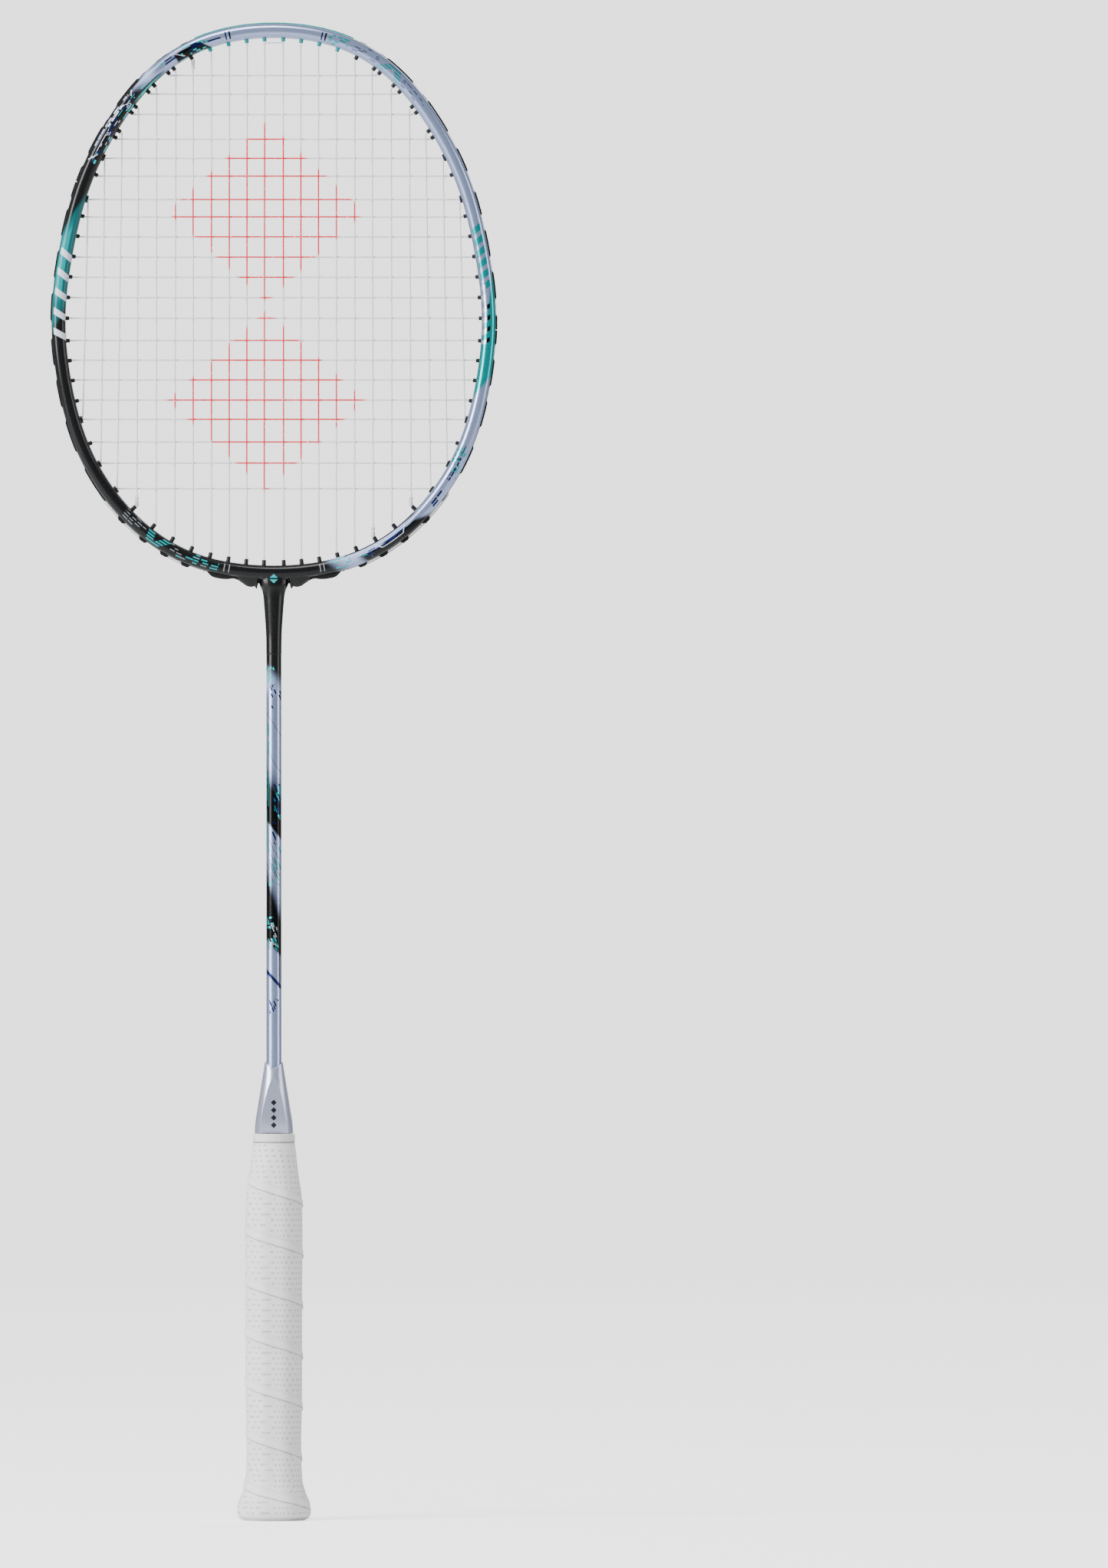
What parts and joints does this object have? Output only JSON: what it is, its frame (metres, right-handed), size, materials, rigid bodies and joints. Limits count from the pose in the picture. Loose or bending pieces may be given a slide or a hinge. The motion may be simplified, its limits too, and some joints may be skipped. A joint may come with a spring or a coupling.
{
  "type": "badminton racket",
  "caption": "Strung badminton racket with an oval carbon head, T-joint, slim round shaft, cone cap and wrapped octagonal handle, for striking a shuttlecock.",
  "frame": {"origin": "middle of the flat butt of the handle, where the racket can stand", "axes": "+Z along the shaft from the butt to the head, +X across the head to the right, -Y towards the front face; the string bed lies in the plane y = 0"},
  "size_m": [0.2004, 0.0296, 0.675],
  "materials": {
    "hoop_lacquer": "glossy lacquer over carbon fibre, black with teal and lavender-silver fields",
    "joint_lacquer": "glossy black lacquer",
    "shaft_lacquer": "pearl lavender-silver lacquer with black, navy and teal streaks",
    "cone_plastic": "satin lavender-silver",
    "band_vinyl": "off-white finishing band",
    "grip_tape": "white polyurethane grip, lightly embossed",
    "handle_wood": "plain light wood, hidden by the grip",
    "end_plastic": "satin",
    "badge_plastic": null,
    "grommet_teal": "satin nylon",
    "grommet_black": "satin nylon",
    "string_nylon": "braided white nylon string",
    "sleeve_nylon": "milky translucent nylon"
  },
  "bodies": {
    "root": {"frame_hoop": "hoop_lacquer", "t_joint": "joint_lacquer", "shaft": "shaft_lacquer", "cone_cap": "cone_plastic", "collar_band": "band_vinyl", "grip_wrap": "grip_tape", "handle_core": "handle_wood", "end_cap": "end_plastic", "end_badge": "badge_plastic", "grommet_strip_top": "grommet_teal", "grommet_strip_shoulder_left": "grommet_black", "grommet_strip_shoulder_right": "grommet_black", "grommet_strip_side_left": "grommet_black", "grommet_strip_side_right": "grommet_black", "grommet_strip_lower_left": "grommet_black", "grommet_strip_lower_right": "grommet_black", "grommet_strip_throat_left": "grommet_black", "grommet_strip_throat_right": "grommet_black", "main_string": "string_nylon", "cross_string": "string_nylon", "tie_sleeve_crown": "sleeve_nylon", "tie_sleeve_foot": "sleeve_nylon", "tie_sleeve_left": "sleeve_nylon", "tie_sleeve_right": "sleeve_nylon", "tie_knot_crown": "string_nylon", "tie_knot_foot": "string_nylon", "tie_knot_left": "string_nylon", "tie_knot_right": "string_nylon"}
  },
  "joints": []
}
